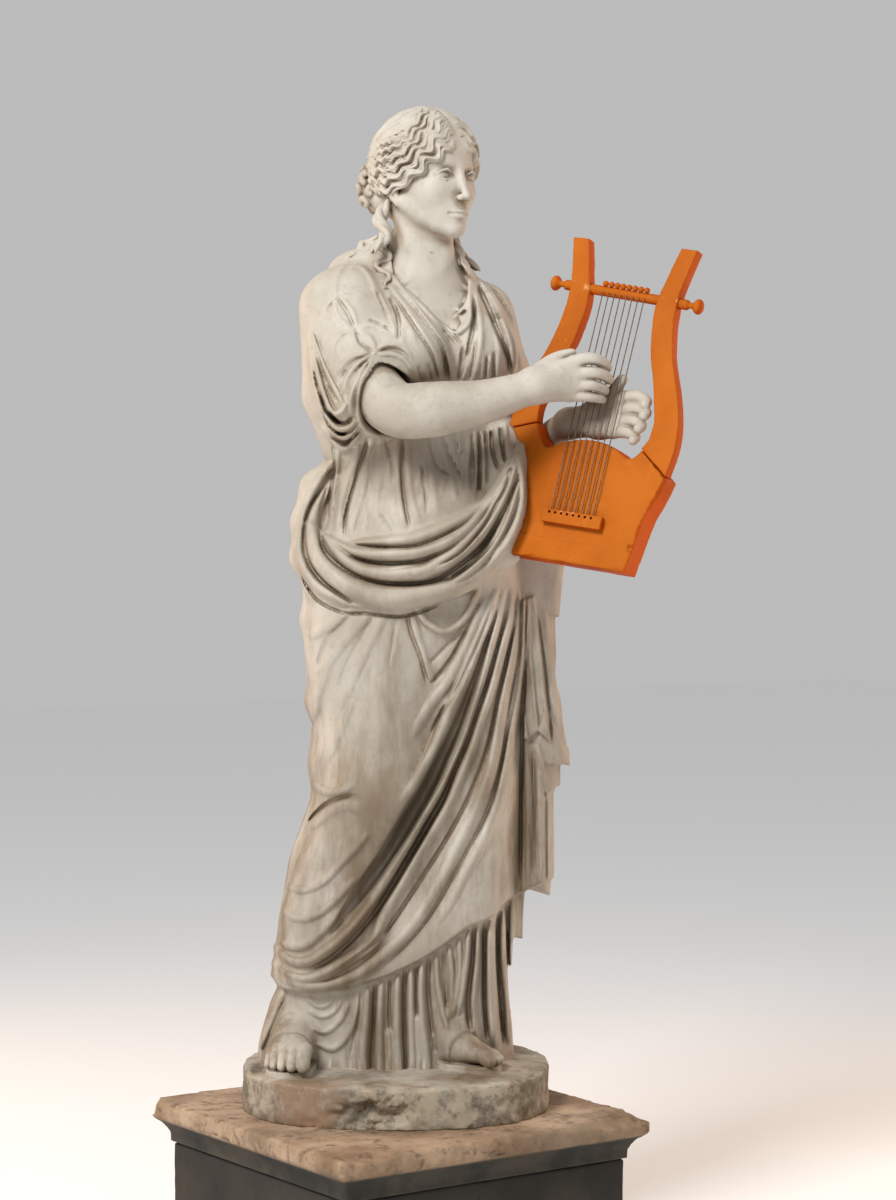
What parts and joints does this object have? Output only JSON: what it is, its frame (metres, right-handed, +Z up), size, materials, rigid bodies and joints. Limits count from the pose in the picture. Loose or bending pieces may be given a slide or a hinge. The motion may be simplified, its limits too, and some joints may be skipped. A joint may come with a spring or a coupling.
{
  "type": "lyre player statue",
  "caption": "Life-size marble statue of a draped woman playing a painted wooden lyre, on an oval base and a low moulded pedestal.",
  "frame": {"origin": "middle of the pedestal's underside, on the floor", "axes": "+Z up, the pedestal's faces square to X and Y, the figure looking towards -Y"},
  "size_m": [0.7345, 0.68, 2.05],
  "materials": {
    "marble": "weathered pale grey marble, brown-grey dirt in the folds",
    "cap_stone": "worn tan stone with brown stains and a chipped edge",
    "shaft_stone": "stone under dark grey-brown grime",
    "orange_paint": "orange-brown paint on wood, satin, worn at the edges",
    "gut": "dark twisted gut, matt"
  },
  "bodies": {
    "root": {"pedestal_cap": "cap_stone", "pedestal_shaft": "shaft_stone", "figure": "marble", "lyre_soundbox": "orange_paint", "lyre_right_arm": "orange_paint", "lyre_left_arm": "orange_paint", "lyre_crossbar": "orange_paint", "lyre_tailpiece": "orange_paint", "lyre_peg_1": "orange_paint", "lyre_peg_2": "orange_paint", "lyre_peg_3": "orange_paint", "lyre_peg_4": "orange_paint", "lyre_peg_5": "orange_paint", "lyre_peg_6": "orange_paint", "lyre_peg_7": "orange_paint", "lyre_peg_8": "orange_paint", "lyre_string_1": "gut", "lyre_string_2": "gut", "lyre_string_3": "gut", "lyre_string_4": "gut", "lyre_string_5": "gut", "lyre_string_6": "gut", "lyre_string_7": "gut", "lyre_string_8": "gut"}
  },
  "joints": []
}
